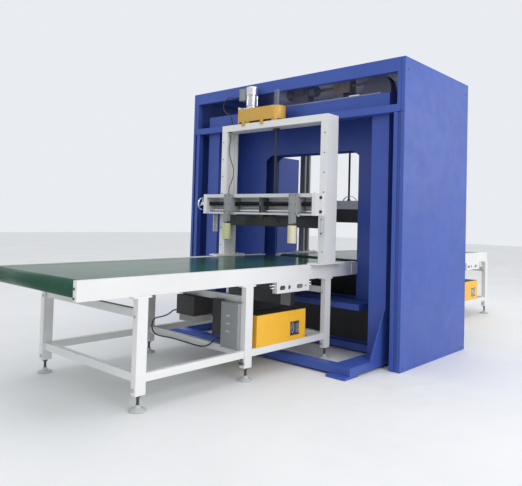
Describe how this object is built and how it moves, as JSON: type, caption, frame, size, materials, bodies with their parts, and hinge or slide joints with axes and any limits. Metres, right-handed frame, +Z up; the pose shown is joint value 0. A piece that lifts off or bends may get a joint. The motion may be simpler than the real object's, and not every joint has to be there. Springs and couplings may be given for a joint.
{
  "type": "ring stretch wrapping line",
  "caption": "Ring stretch wrapping line for panels: portal with ring plates, belt conveyors on both sides, lifting press beams and a side guide unit.",
  "frame": {"origin": "on the floor, below the middle of the line and of the portal", "axes": "+X along the travel of the product from infeed to outfeed, +Y to the handwheel side, +Z up"},
  "size_m": [6.4, 2.67, 2.65],
  "materials": {
    "aluminium": "anodised",
    "belt_green": "smooth glossy belt cover",
    "black_paint": "satin",
    "blue_paint": "semi-gloss powder coat",
    "cable_black": "smooth cable jacket",
    "clear_film": "glossy",
    "cream_plastic": "moulded",
    "dark_grey": "satin",
    "steel": "machined",
    "white_paint": "semi-gloss powder coat",
    "yellow_paint": "semi-gloss powder coat"
  },
  "bodies": {
    "machine": {"base_frame": "blue_paint", "belt_beds": "steel", "belt_drive_cable": "cable_black", "column_gussets": "blue_paint", "control_cabinet": "blue_paint", "conveyor_belts": "belt_green", "conveyor_drums": "steel", "conveyor_legs": "white_paint", "conveyor_rails": "white_paint", "drive_boxes": "yellow_paint", "drive_brackets": "white_paint", "film_unit": "clear_film", "front_shelf": "blue_paint", "gantry_cable": "cable_black", "gantry_feet": "white_paint", "guide_bars": "steel", "guide_centre_bearing": "aluminium", "guide_channel": "aluminium", "guide_handwheel": "steel", "head_frames": "blue_paint", "infeed_belt_drive": "dark_grey", "infeed_drive_cover": "yellow_paint", "infeed_gantry_beam": "white_paint", "infeed_gantry_posts": "white_paint", "infeed_gear_motor": "dark_grey", "infeed_rod_tube": "aluminium", "inner_columns": "blue_paint", "inner_head_frame": "blue_paint", "leg_stretchers": "white_paint", "levelling_feet": "steel", "motor_cable": "cable_black", "outfeed_gantry_beam": "dark_grey", "outfeed_gantry_posts": "dark_grey", "portal_posts": "blue_paint", "portal_side_rails": "blue_paint", "ring_drive_unit": "dark_grey", "ring_plates": "blue_paint", "ring_rollers": "black_paint", "roof_panel": "blue_paint", "side_panels": "blue_paint", "wrapping_ring": "aluminium"},
    "infeed_press": {"infeed_press_beam": "black_paint", "infeed_press_rod": "steel"},
    "outfeed_press": {"outfeed_press_beam": "black_paint", "outfeed_press_rail": "aluminium", "outfeed_press_rod": "black_paint"},
    "near_guide": {"near_guide_carriage": "aluminium", "near_guide_roller": "cream_plastic"},
    "far_guide": {"far_guide_carriage": "aluminium", "far_guide_roller": "cream_plastic"}
  },
  "joints": [
    {"name": "infeed_press_lift", "type": "slide", "parent": "machine", "child": "infeed_press", "axis": [0, 0, 1], "range_m": [-0.15, 0.12]},
    {"name": "outfeed_press_lift", "type": "slide", "parent": "machine", "child": "outfeed_press", "axis": [0, 0, 1], "range_m": [-0.15, 0.12]},
    {"name": "near_guide_slide", "type": "slide", "parent": "machine", "child": "near_guide", "axis": [0, 1, 0], "range_m": [-0.14, 0.3]},
    {"name": "far_guide_slide", "type": "slide", "parent": "machine", "child": "far_guide", "axis": [0, 1, 0], "range_m": [-0.3, 0.14]}
  ],
  "couplings": [
    {"joint": "far_guide_slide", "follows": "near_guide_slide", "ratio": -1}
  ]
}
